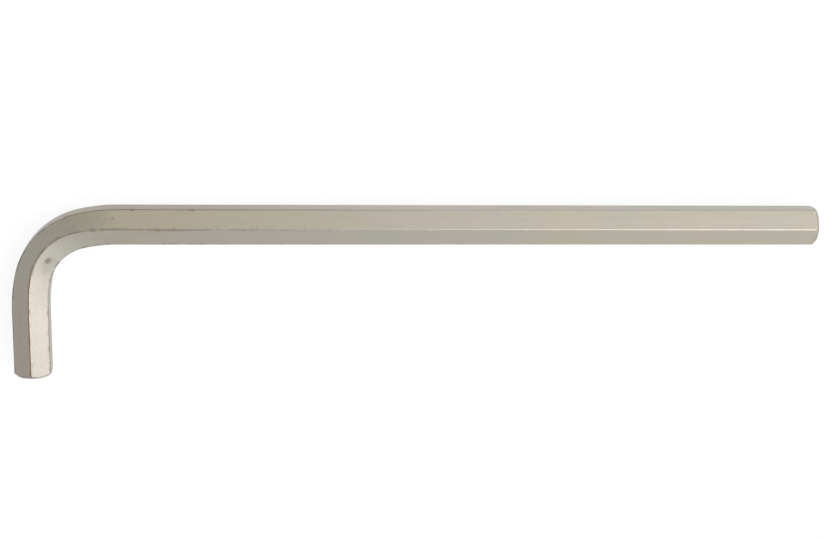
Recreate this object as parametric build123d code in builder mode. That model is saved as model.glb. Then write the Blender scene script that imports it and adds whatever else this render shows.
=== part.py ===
"""Hex key: a long-arm L-shaped wrench, cold bent from one length of hexagonal steel bar.

The key lies on its side on a level surface, resting on the lower corner edge of both arms.
The long arm runs along +X to its tip, the short arm runs along -Y, and two flats of the bar
face the inside and the outside of the bend. The origin is on the surface, under the centre
of the key's bounding box. Millimetres and degrees.
"""

from build123d import *
import os
from math import cos, radians, sin, sqrt, tan

# Driving dimensions
across_flats = 10.0  # the size the key is sold by
long_length = 225.0  # outer flat of the short arm to the long end
short_length = 48.0  # outer flat of the long arm to the short end
bend_radius = 17.5  # of the bar's centreline, through the middle of the bend
lead_radius = 45.0  # of the bar's centreline, where the bend eases in and out
lead_angle = 12.5  # turned on each easing arc, out of the 90 degrees of the bend
edge_radius = 0.35  # along the six corner edges of the bar
end_face_diameter = 9.5  # of the flat circle left at each end by the turned chamfer
chamfer_angle = 45.0  # of the end chamfer, from the end face
flat_sink = 0.15  # each of the inner and outer flats moves in, mid-bend
side_edge_shift = 0.8  # the two side corner edges are drawn outwards, mid-bend
side_edge_sink = 0.1  # and pressed in, mid-bend, so only the straight arms touch the surface
inner_flat_spread = 0.3  # each edge of the inner flat moves sideways, mid-bend
bend_stations = 24  # lengths that the bend is divided into for its sections

# The bar's section
half_flats = across_flats / 2
half_corners = across_flats / sqrt(3)
half_flat_width = half_corners / 2
corner_loss = edge_radius * (2 / sqrt(3) - 1)  # what the rounding takes off a corner
rest_height = half_corners - corner_loss

# Where the two arms' centrelines would meet, and how far from there the bend starts
corner_point = (half_flats - long_length / 2, short_length / 2 - half_flats)
bend_reach = lead_radius * (1 + sin(radians(lead_angle)) - cos(radians(lead_angle)))
bend_reach += bend_radius * (cos(radians(lead_angle)) - sin(radians(lead_angle)))
long_straight = long_length - half_flats - bend_reach
short_straight = short_length - half_flats - bend_reach


def section_plane(where, heading):
    """Plane across the bar at a point of its centreline, with X to the outside of the bend."""
    return Plane(origin=where, x_dir=heading.cross(Vector(0, 0, 1)), z_dir=heading)


def bar_section(plane, fraction):
    """Rounded hexagon of the bar, after this fraction of the bend: 0 and 1 are its ends.

    Bending draws the side edges outwards, presses them and the inner and outer flats in a
    little, and spreads the inner flat. All of it grows smoothly to the middle of the bend.
    """
    growth = sin(radians(180 * fraction)) ** 2
    flats = half_flats - flat_sink * growth
    side = half_corners - side_edge_sink * growth
    shift = side_edge_shift * growth
    inner = half_flat_width + inner_flat_spread * growth
    with BuildSketch(plane) as section:
        with BuildLine():
            Polyline(
                (flats, half_flat_width),
                (shift, side),
                (-flats, inner),
                (-flats, -inner),
                (shift, -side),
                (flats, -half_flat_width),
                close=True,
            )
        make_face()
        fillet(section.vertices(), edge_radius)
    return section.sketch


# Centreline of the bend, from the long arm to the short arm
with BuildLine() as bend_line:
    start = (corner_point[0] + bend_reach, corner_point[1], rest_height)
    ease_in = JernArc(start, (-1, 0, 0), lead_radius, lead_angle)
    tight = JernArc(ease_in @ 1, ease_in % 1, bend_radius, 90 - 2 * lead_angle)
    ease_out = JernArc(tight @ 1, tight % 1, lead_radius, lead_angle)

bend = bend_line.wire()
long_side = section_plane(bend @ 0, bend % 0)
short_side = section_plane(bend @ 1, bend % 1)

sections = []
for station in range(bend_stations + 1):
    turned = station / bend_stations
    sections.append(bar_section(section_plane(bend @ turned, bend % turned), turned))

with BuildPart() as hex_key:
    loft(sections)

    extrude(bar_section(long_side, 0), amount=-long_straight)
    extrude(bar_section(short_side, 1), amount=short_straight)

    # Turned chamfer at each end: what lies outside a cone on the arm's axis is cut away
    ring = half_corners + 1  # clear outside the bar's corners
    past = 1  # clear beyond the end face
    slope = tan(radians(chamfer_angle))
    ends = (
        long_side.offset(-long_straight).reverse(),
        short_side.offset(short_straight),
    )
    for end in ends:
        side_view = Plane(origin=end.origin, x_dir=end.x_dir, z_dir=-end.y_dir)
        with BuildSketch(side_view):
            with BuildLine():
                Polyline(
                    (end_face_diameter / 2 - past / slope, past),
                    (ring, past),
                    (ring, -(ring - end_face_diameter / 2) * slope),
                    close=True,
                )
            make_face()
        revolve(axis=Axis(end.origin, end.z_dir), mode=Mode.SUBTRACT)

hex_key.part.label = "hex_key"

os.makedirs("parts", exist_ok=True)
export_step(hex_key.part, "parts/hex_key.step")
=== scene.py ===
"""Looks of a long-arm hex key: its bent bar, its satin nickel plating, and a plain studio.

The key lies on its side. The long arm runs along +X, the short arm along -Y, and the floor is
at z = 0. Everything is in metres. The bar is modelled as it is made: a hexagonal section is
drawn out along the long arm, spun round the bend and drawn out again along the short arm, then
both ends are turned and the bend is pressed. Its finish follows the bar as if it were straight.
"""

import logging
import math
from dataclasses import dataclass
from enum import Enum
from typing import Callable

import bpy
import numpy as np
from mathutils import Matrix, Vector


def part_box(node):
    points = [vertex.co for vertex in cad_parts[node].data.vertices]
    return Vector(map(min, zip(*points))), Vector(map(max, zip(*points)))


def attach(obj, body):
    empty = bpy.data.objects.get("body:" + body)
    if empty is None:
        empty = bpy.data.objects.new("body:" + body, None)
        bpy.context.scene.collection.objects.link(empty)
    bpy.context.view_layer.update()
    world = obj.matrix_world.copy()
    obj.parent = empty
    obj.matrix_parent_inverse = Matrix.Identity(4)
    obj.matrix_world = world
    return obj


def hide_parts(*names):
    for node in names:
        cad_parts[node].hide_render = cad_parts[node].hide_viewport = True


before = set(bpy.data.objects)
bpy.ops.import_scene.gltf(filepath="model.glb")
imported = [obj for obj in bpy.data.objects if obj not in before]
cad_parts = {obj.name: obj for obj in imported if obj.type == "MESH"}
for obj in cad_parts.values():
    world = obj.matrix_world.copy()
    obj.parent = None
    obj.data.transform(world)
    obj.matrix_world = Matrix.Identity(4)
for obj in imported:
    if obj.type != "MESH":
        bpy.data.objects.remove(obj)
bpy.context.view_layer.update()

LOG = logging.getLogger("hex_key")
MM = 0.001
NODE = "hex_key"

Triple = tuple[float, float, float]


# ---------------------------------------------------------------------------------------------
# Shader building
# ---------------------------------------------------------------------------------------------


class Signal:
    """A node socket that takes part in arithmetic: each operation adds a Math node."""

    def __init__(self, bench: "ShaderBench", socket: bpy.types.NodeSocket) -> None:
        """Wraps a socket.

        Args:
            bench: The node tree's helper, which makes the Math nodes.
            socket: The output socket that holds the value.
        """
        self.bench = bench
        self.socket = socket

    def _math(self, operation: str, *values: "Signal | float") -> "Signal":
        """Adds one Math node and returns its result."""
        node = self.bench.node("ShaderNodeMath", {"operation": operation}, dict(enumerate(values)))
        return Signal(self.bench, node.outputs[0])

    def __add__(self, other: "Signal | float") -> "Signal":
        """Sum."""
        return self._math("ADD", self, other)

    def __sub__(self, other: "Signal | float") -> "Signal":
        """Difference."""
        return self._math("SUBTRACT", self, other)

    def __rsub__(self, other: float) -> "Signal":
        """A number less this value."""
        return self._math("SUBTRACT", other, self)

    def __mul__(self, other: "Signal | float") -> "Signal":
        """Product."""
        return self._math("MULTIPLY", self, other)

    __radd__ = __add__
    __rmul__ = __mul__

    def absolute(self) -> "Signal":
        """This value without its sign."""
        return self._math("ABSOLUTE", self)

    def least(self, other: "Signal | float") -> "Signal":
        """The smaller of two values."""
        return self._math("MINIMUM", self, other)

    def most(self, other: "Signal | float") -> "Signal":
        """The larger of two values."""
        return self._math("MAXIMUM", self, other)

    def ramp(self, start: float, end: float) -> "Signal":
        """A smooth rise from 0 to 1.

        Args:
            start: The value at which the result is 0.
            end: The value at which it is 1. It may be below start.

        Returns:
            The eased value, held to 0 and 1 outside the range.
        """
        settings = {"interpolation_type": "SMOOTHSTEP", "clamp": True}
        if start < end:
            node = self.bench.node("ShaderNodeMapRange", settings, {0: self, 1: start, 2: end})
            return Signal(self.bench, node.outputs[0])
        node = self.bench.node("ShaderNodeMapRange", settings, {0: self, 1: end, 2: start})
        return 1.0 - Signal(self.bench, node.outputs[0])


class ShaderBench:
    """Builds the nodes of one material or world."""

    def __init__(self, tree: bpy.types.NodeTree) -> None:
        """Clears the tree and keeps it.

        Args:
            tree: The node tree to fill.
        """
        self.tree = tree
        self.tree.nodes.clear()

    def node(self, kind: str, settings: dict, inputs: dict) -> bpy.types.Node:
        """Adds one node.

        Args:
            kind: The node's type, such as ShaderNodeMath.
            settings: Attributes that are set before its sockets, such as operation.
            inputs: Socket name or number to a value, a Signal or a socket.

        Returns:
            The new node.
        """
        made = self.tree.nodes.new(kind)
        for name, value in settings.items():
            setattr(made, name, value)
        for key, value in inputs.items():
            if isinstance(value, Signal):
                value = value.socket
            if isinstance(value, bpy.types.NodeSocket):
                self.tree.links.new(value, made.inputs[key])
            else:
                made.inputs[key].default_value = value
        return made

    def attribute(self, name: str) -> bpy.types.Node:
        """An Attribute node that reads the mesh attribute of this name."""
        return self.node("ShaderNodeAttribute", {"attribute_name": name}, {})

    def combine(self, x: Signal, y: Signal, z: Signal) -> bpy.types.NodeSocket:
        """Three values as one vector."""
        return self.node("ShaderNodeCombineXYZ", {}, {0: x, 1: y, 2: z}).outputs[0]

    def noise(self, place: bpy.types.NodeSocket, scale: float, detail: float = 2.0) -> Signal:
        """Noise between 0 and 1.

        Args:
            place: The vector at which it is read.
            scale: Its lumps in one metre of that vector.
            detail: How many finer layers it has.

        Returns:
            The noise's value.
        """
        inputs = {"Vector": place, "Scale": scale, "Detail": detail}
        made = self.node("ShaderNodeTexNoise", {"noise_dimensions": "3D"}, inputs)
        return Signal(self, made.outputs[0])

    def blend(
        self,
        share: Signal,
        first: "Triple | bpy.types.NodeSocket",
        second: "Triple | bpy.types.NodeSocket",
    ) -> bpy.types.NodeSocket:
        """Mixes two colours.

        Args:
            share: 0 for the first colour, 1 for the second.
            first: A linear colour or a colour socket.
            second: Another.

        Returns:
            The mixed colour.
        """
        made = self.node("ShaderNodeMix", {"data_type": "RGBA"}, {0: share})
        for socket, colour in ((made.inputs[6], first), (made.inputs[7], second)):
            if isinstance(colour, bpy.types.NodeSocket):
                self.tree.links.new(colour, socket)
            else:
                socket.default_value = (*colour, 1.0)
        return made.outputs[2]


# ---------------------------------------------------------------------------------------------
# The bar
# ---------------------------------------------------------------------------------------------


@dataclass(frozen=True)
class Arc:
    """One arc of the centreline, turned anticlockwise seen from above."""

    centre: Vector
    radius: float
    angle: float
    start: Vector
    travelled: float


@dataclass(frozen=True)
class Dent:
    """A shallow round or long hollow in the bar's surface, or a swelling if its depth is negative."""

    along: float
    sideways: float
    top_side: bool
    length: float
    width: float
    depth: float


@dataclass
class BentBar:
    """The key's one piece: a hexagonal bar with rounded corner edges, bent to an L."""

    across_flats: float = 10.0 * MM
    edge_radius: float = 0.35 * MM
    bend_radius: float = 17.5 * MM
    lead_radius: float = 45.0 * MM
    lead_angle: float = math.radians(12.5)
    end_inset: float = 0.25 * MM
    flat_sink: float = 0.15 * MM
    side_edge_shift: float = 0.8 * MM
    side_edge_sink: float = 0.1 * MM
    inner_flat_spread: float = 0.3 * MM
    edge_segments: int = 4
    flat_divisions: int = 14
    edge_margin: float = 0.07 * MM
    arm_step: float = 0.5 * MM
    bend_step: float = 0.3 * MM
    turned_rings: int = 14
    end_ring_shares: tuple[float, ...] = (0.985, 0.8, 0.7, 0.6, 0.5, 0.35, 0.2)
    merge_distance: float = 0.001 * MM

    def __post_init__(self) -> None:
        """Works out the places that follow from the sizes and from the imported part's box."""
        low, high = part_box(NODE)
        self.half_flats = self.across_flats / 2
        self.half_corners = self.across_flats / math.sqrt(3)
        self.half_flat_width = self.half_corners / 2
        self.height = (low.z + high.z) / 2
        self.long_tip = Vector((high.x, high.y - self.half_flats, self.height))
        self.corner = Vector((low.x + self.half_flats, high.y - self.half_flats, self.height))
        lead_cos, lead_sin = math.cos(self.lead_angle), math.sin(self.lead_angle)
        self.bend_reach = self.lead_radius * (1 + lead_sin - lead_cos)
        self.bend_reach += self.bend_radius * (lead_cos - lead_sin)
        self.long_straight = self.long_tip.x - self.corner.x - self.bend_reach
        self.short_straight = self.corner.y - low.y - self.bend_reach
        self.arcs = self._arcs()
        self.bend_length = sum(arc.radius * arc.angle for arc in self.arcs)
        self.length = self.long_straight + self.bend_length + self.short_straight

    def _arcs(self) -> list[Arc]:
        """The three arcs of the bend, from the long arm to the short arm."""
        arcs = []
        place = self.corner + Vector((self.bend_reach, 0, 0))
        heading = math.pi
        travelled = self.long_straight
        middle = math.pi / 2 - 2 * self.lead_angle
        for radius, angle in (
            (self.lead_radius, self.lead_angle),
            (self.bend_radius, middle),
            (self.lead_radius, self.lead_angle),
        ):
            inward = Vector((-math.sin(heading), math.cos(heading), 0))
            centre = place + inward * radius
            arcs.append(Arc(centre, radius, angle, place.copy(), travelled))
            heading += angle
            place = centre - Vector((-math.sin(heading), math.cos(heading), 0)) * radius
            travelled += radius * angle
        return arcs

    def build(self, dents: list[Dent]) -> bpy.types.Object:
        """Models the bar.

        Args:
            dents: The marks that are pressed into its surface.

        Returns:
            The finished mesh object, at the origin.
        """
        bar = self._section()
        self._draw(bar, self.long_tip, Vector((-1, 0, 0)), self.long_straight, True)
        for arc in self.arcs:
            self._spin(bar, arc)
        short_start = self.corner - Vector((0, self.bend_reach, 0))
        self._draw(bar, short_start, Vector((0, -1, 0)), self.short_straight, False)
        self._close_end(bar, self.long_tip)
        self._close_end(bar, short_start - Vector((0, self.short_straight, 0)))
        self._settle(bar)
        self._shape(bar, dents)
        return bar

    def _section(self) -> bpy.types.Object:
        """Adds the hexagon at the long tip, rounds its corners and divides its flats."""
        bpy.ops.mesh.primitive_circle_add(
            vertices=6,
            radius=self.half_corners,
            fill_type="NOTHING",
            location=self.long_tip,
            rotation=(math.pi / 2, 0, math.pi / 2),
        )
        bar = bpy.context.object
        bar.name = "bent_bar"
        bpy.ops.object.transform_apply(location=True, rotation=True, scale=True)
        bpy.ops.object.mode_set(mode="EDIT")
        bpy.ops.mesh.select_all(action="SELECT")
        tangent = self.edge_radius * math.tan(math.pi / 6)
        bpy.ops.mesh.bevel(
            offset=tangent, segments=self.edge_segments, profile=0.5, affect="VERTICES"
        )
        cut = self.half_flat_width - tangent - self.edge_margin
        for turn in range(3):
            angle = turn * math.pi / 3
            normal = Vector((0, -math.sin(angle), math.cos(angle)))
            for side in (-1, 1):
                bpy.ops.mesh.select_all(action="SELECT")
                place = self.long_tip + normal * cut * side
                bpy.ops.mesh.bisect(plane_co=place, plane_no=normal)
        self._select_edges(bar, lambda a, b: (a - b).length > cut)
        bpy.ops.mesh.subdivide(number_cuts=self.flat_divisions)
        bpy.ops.object.mode_set(mode="OBJECT")
        return bar

    def _select_edges(
        self, bar: bpy.types.Object, wanted: Callable[[Vector, Vector], bool]
    ) -> None:
        """Selects edges by their two ends.

        Args:
            bar: The object, in edit mode before and after.
            wanted: Takes an edge's two end points and returns whether to select it.
        """
        bpy.ops.mesh.select_mode(type="EDGE")
        bpy.ops.mesh.select_all(action="DESELECT")
        bpy.ops.object.mode_set(mode="OBJECT")
        points = bar.data.vertices
        for edge in bar.data.edges:
            first, second = edge.vertices
            edge.select = bool(wanted(points[first].co, points[second].co))
        bpy.ops.object.mode_set(mode="EDIT")

    def _select_loop(self, bar: bpy.types.Object, place: Vector, normal: Vector) -> None:
        """Selects the edges that lie in the plane across the bar at a place.

        Args:
            bar: The object, in edit mode before and after.
            place: A point in the plane, on the centreline.
            normal: The bar's direction there.
        """
        near = 0.01 * MM
        reach = 2 * self.across_flats

        def in_plane(first: Vector, second: Vector) -> bool:
            """Whether both ends lie in the plane and near the place."""
            for point in (first, second):
                offset = point - place
                if abs(offset.dot(normal)) > near or offset.length > reach:
                    return False
            return True

        self._select_edges(bar, in_plane)

    def _draw(
        self, bar: bpy.types.Object, start: Vector, way: Vector, length: float, tip_first: bool
    ) -> None:
        """Extrudes the open end along a straight arm, with close rings where it is turned.

        Args:
            bar: The object, in object mode.
            start: Where the arm's open end is.
            way: The direction to extrude in.
            length: How far.
            tip_first: Whether the turned tip is at the start of the arm.
        """
        turned = self.half_corners - self.half_flats + self.end_inset
        fine = [turned / self.turned_rings] * self.turned_rings
        steps = max(1, round((length - turned) / self.arm_step))
        coarse = [(length - turned) / steps] * steps
        bpy.ops.object.mode_set(mode="EDIT")
        self._select_loop(bar, start, way)
        for step in fine + coarse if tip_first else coarse + fine:
            bpy.ops.mesh.extrude_edges_move(TRANSFORM_OT_translate={"value": way * step})
        bpy.ops.object.mode_set(mode="OBJECT")

    def _spin(self, bar: bpy.types.Object, arc: Arc) -> None:
        """Spins the open end round one arc of the bend.

        Args:
            bar: The object, in object mode.
            arc: The arc to follow.
        """
        spoke = (arc.start - arc.centre).normalized()
        way = Vector((-spoke.y, spoke.x, 0))
        bpy.ops.object.mode_set(mode="EDIT")
        self._select_loop(bar, arc.start, way)
        bpy.ops.mesh.spin(
            steps=round(arc.radius * arc.angle / self.bend_step),
            angle=-arc.angle,
            center=arc.centre,
            axis=(0, 0, 1),
        )
        bpy.ops.object.mode_set(mode="OBJECT")

    def _close_end(self, bar: bpy.types.Object, tip: Vector) -> None:
        """Closes one end with rings that shrink to a small middle face.

        Args:
            bar: The object, in object mode.
            tip: The middle of the end.
        """
        way = Vector((1, 0, 0)) if tip == self.long_tip else Vector((0, -1, 0))
        bpy.ops.object.mode_set(mode="EDIT")
        self._select_loop(bar, tip, way)
        for share in self.end_ring_shares:
            bpy.ops.mesh.extrude_edges_move(TRANSFORM_OT_translate={"value": (0, 0, 0)})
            bpy.ops.transform.resize(value=(share,) * 3, center_override=tip)
        bpy.ops.mesh.edge_face_add()
        bpy.ops.object.mode_set(mode="OBJECT")

    def _settle(self, bar: bpy.types.Object) -> None:
        """Merges doubled points, turns every face outwards and smooths the shading.

        Args:
            bar: Not used; the operators act on the active object, which is in object mode.
        """
        bpy.ops.object.mode_set(mode="EDIT")
        bpy.ops.mesh.select_all(action="SELECT")
        bpy.ops.mesh.remove_doubles(threshold=self.merge_distance)
        bpy.ops.mesh.normals_make_consistent(inside=False)
        bpy.ops.object.mode_set(mode="OBJECT")
        bpy.ops.object.shade_smooth()

    def _straighten(self, points: np.ndarray) -> np.ndarray:
        """Where each point lies on the bar as if it were straight.

        Args:
            points: Rows of x, y, z on the bent bar.

        Returns:
            Rows of distance from the long tip, distance to the outside of the bend from the
            centreline, and height above the centreline.
        """
        x, y = points[:, 0], points[:, 1]
        along = self.long_tip.x - x
        outward = y - self.corner.y
        end = self.long_straight + self.bend_length
        short_start = self.corner.y - self.bend_reach
        past_bend = (y < short_start) & (x < self.corner.x + 2 * self.half_flats)
        along = np.where(past_bend, end + short_start - y, along)
        outward = np.where(past_bend, self.corner.x - x, outward)
        placed = past_bend | (x > self.corner.x + self.bend_reach)
        for arc in self.arcs:
            spoke = arc.start - arc.centre
            start = math.atan2(spoke.y, spoke.x)
            turned = (np.arctan2(y - arc.centre.y, x - arc.centre.x) - start) % (2 * math.pi)
            inside = ~placed & (turned <= arc.angle + 1e-6)
            distance = np.hypot(x - arc.centre.x, y - arc.centre.y)
            along = np.where(inside, arc.travelled + turned * arc.radius, along)
            outward = np.where(inside, distance - arc.radius, outward)
            placed |= inside
        return np.stack([along, outward, points[:, 2] - self.height], axis=1)

    def _outward_ways(self, along: np.ndarray) -> np.ndarray:
        """The direction to the outside of the bend.

        Args:
            along: Distances from the long tip.

        Returns:
            A level unit vector for each distance.
        """
        heading = np.full(len(along), math.pi)
        for arc in self.arcs:
            heading += np.clip((along - arc.travelled) / arc.radius, 0, arc.angle)
        return np.stack([np.sin(heading), -np.cos(heading), np.zeros(len(along))], axis=1)

    def _shape(self, bar: bpy.types.Object, dents: list[Dent]) -> None:
        """Turns the ends, presses the bend and the dents, and keeps each point's place.

        Args:
            bar: The bent bar with sharp-cut ends. Its points are moved.
            dents: The marks to press into it.
        """
        count = len(bar.data.vertices)
        points = np.zeros(count * 3)
        bar.data.vertices.foreach_get("co", points)
        points = points.reshape(-1, 3)
        place = self._straighten(points)
        along, outward, up = place.T
        edge = self._edge_distance(outward, up)

        from_end = np.minimum(along, self.length - along)
        allowed = self.half_flats - self.end_inset + np.maximum(from_end, 0)
        reach = np.hypot(outward, up)
        turned = np.minimum(1.0, allowed / np.maximum(reach, 1e-9))

        share = np.clip((along - self.long_straight) / self.bend_length, 0, 1)
        growth = np.sin(math.pi * share) ** 2
        stations = (-self.half_flats, 0, self.half_flats)
        shifts = (self.flat_sink, self.side_edge_shift, -self.flat_sink)
        spreads = (self.inner_flat_spread, -self.side_edge_sink, 0)
        sideways = np.sign(up) * np.minimum(1, np.abs(up) / self.half_flat_width)
        new_outward = outward * turned + growth * np.interp(outward, stations, shifts)
        new_up = up * turned + growth * sideways * np.interp(outward, stations, spreads)

        facing = np.stack([outward, up], axis=1) / np.maximum(reach, 1e-9)[:, None]
        hollow = self._hollows(along, outward, up, dents)
        new_outward -= hollow * facing[:, 0]
        new_up -= hollow * facing[:, 1]

        ways = self._outward_ways(along)
        points += ways * (new_outward - outward)[:, None]
        points[:, 2] += new_up - up
        bar.data.vertices.foreach_set("co", points.ravel())
        bar.data.update()

        kept = bar.data.attributes.new("bar_place", "FLOAT_VECTOR", "POINT")
        kept.data.foreach_set("vector", place.astype(np.float32).ravel())
        kept = bar.data.attributes.new("edge_distance", "FLOAT", "POINT")
        kept.data.foreach_set("value", edge.astype(np.float32))

    def _edge_distance(self, outward: np.ndarray, up: np.ndarray) -> np.ndarray:
        """How far each point is from the nearest of the six corner edges.

        Args:
            outward: Distances to the outside of the bend.
            up: Heights above the centreline.

        Returns:
            The distance in the section's plane, 0 on the crest of a rounded corner.
        """
        angle = np.arctan2(up, outward)
        corner = np.round((angle - math.pi / 6) / (math.pi / 3)) * (math.pi / 3) + math.pi / 6
        crest = self.half_corners - self.edge_radius * (2 / math.sqrt(3) - 1)
        return np.hypot(outward - crest * np.cos(corner), up - crest * np.sin(corner))

    def _hollows(
        self, along: np.ndarray, outward: np.ndarray, up: np.ndarray, dents: list[Dent]
    ) -> np.ndarray:
        """How deep the dents are.

        Args:
            along: Distances from the long tip.
            outward: Distances to the outside of the bend.
            up: Heights above the centreline.
            dents: The marks to press.

        Returns:
            The depth at each point.
        """
        depth = np.zeros(len(along))
        for dent in dents:
            side = up > 0 if dent.top_side else up < 0
            forward = (along - dent.along) / dent.length
            across = (outward - dent.sideways) / dent.width
            spread = forward**2 + across**2
            depth += np.where(side, dent.depth * np.exp(-spread * 2), 0)
        return depth


# ---------------------------------------------------------------------------------------------
# The finish
# ---------------------------------------------------------------------------------------------


@dataclass(frozen=True)
class ShadeAndSmudge:
    """A soft dark spot on the upper side of the bar; the ones in the bend's hollow are painted shade.
    """

    along: float
    sideways: float
    half_length: float
    half_width: float
    strength: float

    def shade(
        self, bench: ShaderBench, place: bpy.types.NodeSocket, along: Signal, outward: Signal
    ) -> Signal:
        """How dark it is, with an uneven border.

        Args:
            bench: The material's node tree.
            place: The place on the straightened bar.
            along: Its distance from the long tip.
            outward: Its distance to the outside of the bend.

        Returns:
            A value from 0 to the spot's strength.
        """
        forward = (along - self.along) * (1 / self.half_length)
        across = (outward - self.sideways) * (1 / self.half_width)
        uneven = (bench.noise(place, 650.0, 3.0) - 0.5) * 1.3
        return (forward * forward + across * across + uneven).ramp(1.05, 0.0) * self.strength


@dataclass(frozen=True)
class NickelPlate:
    """Satin nickel plating over drawn steel, with the copper strike showing on one rubbed-through
    edge, and painted shade on some flats, edges and spots.

    Each pair of distances is where a mark fades in: from none at the first to full at the second.
    """

    nickel: Triple = (0.42, 0.393, 0.345)
    yellowed: Triple = (0.43, 0.395, 0.325)
    rosy: Triple = (0.43, 0.393, 0.352)
    greenish: Triple = (0.408, 0.392, 0.342)
    outer_yellow: Triple = (0.425, 0.385, 0.295)
    # Dark colour for real dirt and wear and for painted shade on flats, edges and in the bend's
    # hollow.
    dirt_and_shade: Triple = (0.13, 0.105, 0.075)
    copper: Triple = (0.32, 0.18, 0.115)
    roughness: float = 0.34
    burnish: float = 0.2
    # Half width of the edge line of painted shade and wear.
    worn_and_shaded_half_width: float = 0.3 * MM
    outer_yellow_start: tuple[float, float] = (90 * MM, 175 * MM)
    outer_yellow_end: tuple[float, float] = (224 * MM, 200 * MM)
    # Where the painted shade on the outer flat and on the inner flat fades in.
    outer_flat_shade_start: tuple[float, float] = (110 * MM, 190 * MM)
    inner_flat_shade_start: tuple[float, float] = (214 * MM, 228 * MM)
    pits_start: tuple[float, float] = (178 * MM, 205 * MM)
    # Where the edge line of painted shade and wear grows stronger.
    worn_and_shaded_start: tuple[float, float] = (105 * MM, 200 * MM)
    long_arm_rub: tuple[float, float] = (118 * MM, 98 * MM)
    short_arm_rub: tuple[float, float] = (212 * MM, 224 * MM)
    outer_flat: tuple[float, float] = (4.7 * MM, 4.95 * MM)
    inner_flat: tuple[float, float] = (-4.7 * MM, -4.95 * MM)

    def make(self, bar: BentBar, shade_and_smudges: list[ShadeAndSmudge]) -> bpy.types.Material:
        """Builds the material.

        Args:
            bar: The bar that it is for, which says where the short arm starts.
            shade_and_smudges: The dark spots on it, two of them painted shade in the bend's hollow.

        Returns:
            The material.
        """
        material = bpy.data.materials.new("satin_nickel_plate")
        material.use_nodes = True
        bench = ShaderBench(material.node_tree)
        place = bench.attribute("bar_place").outputs["Vector"]
        split = bench.node("ShaderNodeSeparateXYZ", {}, {0: place})
        along, outward, up = (Signal(bench, socket) for socket in split.outputs)
        edge = Signal(bench, bench.attribute("edge_distance").outputs["Fac"])

        colour = self._tint(bench, place, along, outward)
        drawn = bench.noise(bench.combine(along * 0.03, outward, up), 2600.0)
        specks = bench.noise(place, 900.0, 3.0)
        pits = bench.noise(place, 2400.0, 3.0).ramp(0.52, 0.66) * 0.3
        pits = pits * (along.ramp(*self.pits_start) * 0.8 + 0.2)
        streaks = drawn.ramp(0.45, 0.7) * 0.10
        colour = bench.blend(pits + streaks, colour, tuple(0.6 * part for part in self.nickel))

        # Darker within about a millimetre of both ends.
        from_end = along.least(bar.length - along)
        colour = bench.blend(from_end.ramp(0.9 * MM, 0.3 * MM) * 0.3, colour, self.dirt_and_shade)
        # Painted shade along the corner edges, mixed with real nicks and wear.
        worn_and_shaded = self._worn_and_shaded_line(bench, place, along, outward, edge)
        colour = bench.blend(worn_and_shaded, colour, self.dirt_and_shade)
        # Painted shade in the bend's hollow and its surround, and one small dark spot.
        for dark_mark in shade_and_smudges:
            spot = dark_mark.shade(bench, place, along, outward) * up.ramp(0, 1 * MM)
            colour = bench.blend(spot, colour, self.dirt_and_shade)
        bared = self._bared_line(bench, place, along, outward, up, bar)
        colour = bench.blend(bared, colour, self.copper)

        rough = self.roughness + (specks - 0.5) * 0.12 + (drawn - 0.5) * 0.08 + worn_and_shaded * 0.2
        rough = rough - self._burnished(along, edge) * self.burnish
        height = drawn * 0.5 + specks * 0.7 + bench.noise(place, 260.0) * 2.0 - worn_and_shaded * 1.2
        bump = bench.node(
            "ShaderNodeBump", {}, {"Strength": 0.35, "Distance": 0.012 * MM, "Height": height}
        )
        surface = bench.node(
            "ShaderNodeBsdfPrincipled",
            {},
            {
                "Base Color": colour,
                "Metallic": 1.0,
                "Roughness": rough,
                "Normal": bump.outputs[0],
            },
        )
        bench.node("ShaderNodeOutputMaterial", {}, {0: surface.outputs[0]})
        return material

    def _tint(
        self, bench: ShaderBench, place: bpy.types.NodeSocket, along: Signal, outward: Signal
    ) -> bpy.types.NodeSocket:
        """The plating's colour: soft patches of warmth, a yellower tone on the outer side towards the
        bend, and painted shade on the outer and inner flats.

        Args:
            bench: The material's node tree.
            place: The place on the straightened bar.
            along: Its distance from the long tip.
            outward: Its distance to the outside of the bend.

        Returns:
            The colour socket.
        """
        settings = {"vector_type": "POINT"}
        long_patches = bench.node(
            "ShaderNodeMapping", settings, {"Vector": place, "Scale": (0.5, 1, 1)}
        ).outputs[0]
        moved = bench.node(
            "ShaderNodeMapping", settings, {"Vector": long_patches, "Location": (0.3, 0.1, 0.2)}
        ).outputs[0]
        warm = bench.noise(long_patches, 90.0).ramp(0.42, 0.66)
        colour = bench.blend(warm, self.nickel, self.yellowed)
        colour = bench.blend(bench.noise(moved, 110.0).ramp(0.5, 0.72), colour, self.rosy)
        colour = bench.blend(bench.noise(moved, 70.0).ramp(0.48, 0.34), colour, self.greenish)
        # A yellower tone on the outer side of the bar, from mid-arm into the bend.
        outer_yellow_share = along.ramp(*self.outer_yellow_start) * along.ramp(*self.outer_yellow_end)
        colour = bench.blend(outer_yellow_share * outward.ramp(0, 1 * MM) * 0.7, colour, self.outer_yellow)
        # Painted shade: the outer flat darker towards the bend, and the inner flat darker from the
        # bend's end along the short arm.
        outer_flat_shade = along.ramp(*self.outer_flat_shade_start) * outward.ramp(*self.outer_flat)
        inside = along.ramp(*self.inner_flat_shade_start) * outward.ramp(*self.inner_flat)
        return bench.blend(outer_flat_shade * 0.35 + inside * 0.22, colour, self.dirt_and_shade)

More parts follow.
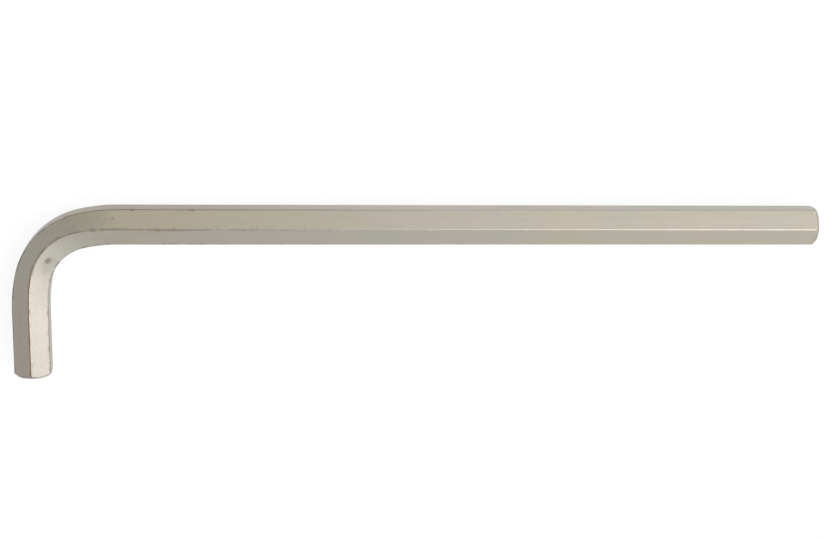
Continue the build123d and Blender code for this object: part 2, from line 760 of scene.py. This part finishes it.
    def _worn_and_shaded_line(
        self,
        bench: ShaderBench,
        place: bpy.types.NodeSocket,
        along: Signal,
        outward: Signal,
        edge: Signal,
    ) -> Signal:
        """Painted shade and real wear: a thin, nicked, dark line on the corner edges, strongest from
        mid-arm to the bend.

        Args:
            bench: The material's node tree.
            place: The place on the straightened bar.
            along: Its distance from the long tip.
            outward: Its distance to the outside of the bend.
            edge: Its distance from the nearest corner edge.

        Returns:
            How dark the line is, from 0 to 1.
        """
        wander = (bench.noise(place, 700.0, 4.0) - 0.5) * 0.55 * MM
        line = (edge + wander).ramp(self.worn_and_shaded_half_width, 0.35 * self.worn_and_shaded_half_width)
        breaks = bench.noise(place, 230.0, 4.0).ramp(0.3, 0.52) * 0.7 + 0.3
        stretch = along.ramp(*self.worn_and_shaded_start)
        # The top and bottom corner edges get more of the painted shade.
        side_edge = outward.absolute().ramp(2.5 * MM, 2 * MM)
        line = line * breaks * (stretch * (side_edge * 0.3 + 0.25) + 0.12)
        nicks = (edge + wander * 1.5).ramp(0.7 * MM, 0.2 * MM)
        nicks = nicks * bench.noise(place, 330.0, 4.0).ramp(0.5, 0.6) * stretch * 0.55
        return line.most(nicks)

    def _burnished(self, along: Signal, edge: Signal) -> Signal:
        """How bright-rubbed the corner edges are, towards both ends of the key.

        Args:
            along: The distance from the long tip.
            edge: The distance from the nearest corner edge.

        Returns:
            A value from 0 to 1.
        """
        stretch = along.ramp(*self.long_arm_rub).most(along.ramp(*self.short_arm_rub))
        return edge.ramp(0.55 * MM, 0.2 * MM) * stretch

    def _bared_line(
        self,
        bench: ShaderBench,
        place: bpy.types.NodeSocket,
        along: Signal,
        outward: Signal,
        up: Signal,
        bar: BentBar,
    ) -> Signal:
        """The copper-brown line on the upper edge of the short arm, where the plating wore off.

        Args:
            bench: The material's node tree.
            place: The place on the straightened bar.
            along: Its distance from the long tip.
            outward: Its distance to the outside of the bend.
            up: Its height above the centreline.
            bar: The bar, which says where the short arm starts.

        Returns:
            How bare the copper is, from 0 to 1.
        """
        start = bar.length - bar.short_straight
        reach = along.ramp(start - 20 * MM, start - 8 * MM)
        bent = along.ramp(start, start - 14 * MM) * 0.1 * MM
        line = (outward - bent - 0.1 * MM).absolute().ramp(0.22 * MM, 0.1 * MM)
        patchy = bench.noise(place, 500.0).ramp(0.2, 0.55) * 0.3 + 0.7
        return reach * line * patchy * up.ramp(5.2 * MM, 5.5 * MM)


# ---------------------------------------------------------------------------------------------
# The studio
# ---------------------------------------------------------------------------------------------


class Toward(Enum):
    """The part of the surround that a glow fills, seen from the key."""

    RIGHT_ABOVE = "right and above"
    FAR_RIGHT = "beyond the long arm, to the right"
    NEAR_RIGHT = "low in front, to the right"
    OVERHEAD_RIGHT = "high up, to the right"
    RIGHT = "low at the right"
    LEFT_ABOVE = "left and above"


@dataclass(frozen=True)
class Glow:
    """A round patch of the surround, like a large softbox, that fades out at its border."""

    toward: Toward
    way: Triple
    core: float
    reach: float
    strength: float
    colour: Triple = (1.0, 1.0, 1.0)

    def light(self, bench: ShaderBench, way: bpy.types.NodeSocket) -> bpy.types.NodeSocket:
        """Its light.

        Args:
            bench: The world's node tree.
            way: The direction that is looked in.

        Returns:
            A shader of full strength inside the core, which falls to none at the reach. Both
            are in degrees.
        """
        unit = tuple(Vector(self.way).normalized())
        aimed = bench.node("ShaderNodeVectorMath", {"operation": "DOT_PRODUCT"}, {0: way, 1: unit})
        inner, outer = (math.cos(math.radians(angle)) for angle in (self.core, self.reach))
        strength = Signal(bench, aimed.outputs["Value"]).ramp(outer, inner) * self.strength
        inputs = {"Color": (*self.colour, 1.0), "Strength": strength}
        return bench.node("ShaderNodeBackground", {}, inputs).outputs[0]


@dataclass(frozen=True)
class Studio:
    """A plain pale floor, a surround of soft light, and the camera."""

    surround: float = 0.66
    floor_half_width: float = 4.0
    floor_white_share: float = 0.87
    lens: float = 77.31
    camera_place: Triple = (-43.76 * MM, 138.92 * MM, 482.42 * MM)
    camera_turn: Triple = (-15.638, -4.684, 1.232)
    glows: tuple[Glow, ...] = (
        Glow(Toward.RIGHT_ABOVE, (0.76, -0.29, 0.58), 15, 50, 0.48),
        Glow(Toward.FAR_RIGHT, (0.45, 0.62, 0.64), 10, 40, 0.77, (1.0, 0.98, 0.92)),
        Glow(Toward.NEAR_RIGHT, (0.38, -0.88, 0.30), 10, 40, 0.48),
        Glow(Toward.OVERHEAD_RIGHT, (0.42, -0.04, 0.90), 12, 28, 2.9),
        Glow(Toward.RIGHT, (0.95, 0.2, 0.25), 15, 50, 0.85),
        Glow(Toward.LEFT_ABOVE, (-0.80, 0.15, 0.50), 15, 50, 0.11),
    )

    def build(self) -> None:
        """Adds the camera, the floor and the lit surround."""
        self._camera()
        self._floor()
        self._world()
        bpy.context.scene.view_settings.view_transform = "Standard"

    def _camera(self) -> None:
        """The camera looks down on the key from beyond the long arm, with +Y up in its view."""
        camera = bpy.data.objects.new("camera", bpy.data.cameras.new("camera"))
        camera.data.lens = self.lens
        camera.location = self.camera_place
        camera.rotation_euler = tuple(math.radians(turn) for turn in self.camera_turn)
        bpy.context.scene.collection.objects.link(camera)
        bpy.context.scene.camera = camera

    def _floor(self) -> None:
        """A level floor that is white to the eye and in reflections and still takes a shadow."""
        bpy.ops.object.select_all(action="DESELECT")
        bpy.ops.mesh.primitive_plane_add(size=2 * self.floor_half_width)
        floor = bpy.context.object
        floor.name = "floor"
        material = bpy.data.materials.new("pale_floor")
        material.use_nodes = True
        bench = ShaderBench(material.node_tree)
        paint = bench.node("ShaderNodeBsdfDiffuse", {}, {"Color": (0.9, 0.9, 0.9, 1)})
        white = bench.node("ShaderNodeEmission", {}, {"Color": (1, 1, 1, 1), "Strength": 1.0})
        path = bench.node("ShaderNodeLightPath", {}, {})
        seen = Signal(bench, path.outputs["Is Camera Ray"])
        seen = seen.most(Signal(bench, path.outputs["Is Glossy Ray"]))
        seen = seen.most(Signal(bench, path.outputs["Is Transmission Ray"]))
        share = seen * self.floor_white_share
        mixed = bench.node(
            "ShaderNodeMixShader", {}, {0: share, 1: paint.outputs[0], 2: white.outputs[0]}
        )
        bench.node("ShaderNodeOutputMaterial", {}, {0: mixed.outputs[0]})
        floor.data.materials.append(material)

    def _world(self) -> None:
        """An even pale surround with softbox-like glows added to it."""
        world = bpy.data.worlds.new("surround")
        world.use_nodes = True
        bench = ShaderBench(world.node_tree)
        way = bench.node("ShaderNodeTexCoord", {}, {}).outputs["Generated"]
        even = {"Color": (1, 1, 1, 1), "Strength": self.surround}
        light = bench.node("ShaderNodeBackground", {}, even).outputs[0]
        for glow in self.glows:
            both = {0: light, 1: glow.light(bench, way)}
            light = bench.node("ShaderNodeAddShader", {}, both).outputs[0]
        bench.node("ShaderNodeOutputWorld", {}, {0: light})
        bpy.context.scene.world = world


# ---------------------------------------------------------------------------------------------


def key_marks(bar: BentBar) -> list[Dent]:
    """The dents and swellings that this key has picked up.

    Args:
        bar: The bar that they are in.

    Returns:
        The marks, each placed by its distance from the long tip.
    """
    bend_start = bar.long_straight
    return [
        Dent(bend_start + 22.9 * MM, -2.5 * MM, True, 2.2 * MM, 1.1 * MM, 0.07 * MM),
        Dent(8.8 * MM, 2.7 * MM, True, 0.9 * MM, 0.6 * MM, -0.02 * MM),
        Dent(22.7 * MM, -0.4 * MM, True, 0.5 * MM, 0.3 * MM, 0.03 * MM),
    ]


def key_shade_and_smudges(bar: BentBar) -> list[ShadeAndSmudge]:
    """The dark spots on this key, most of them painted shade.

    Args:
        bar: The bar that they are on.

    Returns:
        Painted shade in the hollow inside the bend and its soft surround, and one small dark spot
        before the bend.
    """
    bend_start = bar.long_straight
    return [
        ShadeAndSmudge(bend_start + 22.7 * MM, -2.4 * MM, 1.7 * MM, 0.9 * MM, 0.6),
        ShadeAndSmudge(bend_start + 23.9 * MM, -3.0 * MM, 4.4 * MM, 1.8 * MM, 0.22),
        ShadeAndSmudge(bend_start + 0.85 * MM, 2.74 * MM, 0.55 * MM, 0.35 * MM, 0.45),
    ]


def main() -> None:
    """Builds the studio and the key, dresses the key, and reports each piece."""
    logging.basicConfig(level=logging.INFO, format="%(name)s: %(message)s")
    Studio().build()
    bpy.ops.object.select_all(action="DESELECT")
    shape = BentBar()
    bar = shape.build(key_marks(shape))
    bar.data.materials.clear()
    bar.data.materials.append(NickelPlate().make(shape, key_shade_and_smudges(shape)))
    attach(bar, "root")
    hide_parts(NODE)
    LOG.info("%s: %d faces, bar length %.1f mm", bar.name, len(bar.data.polygons), shape.length / MM)


if __name__ == "__main__":
    main()
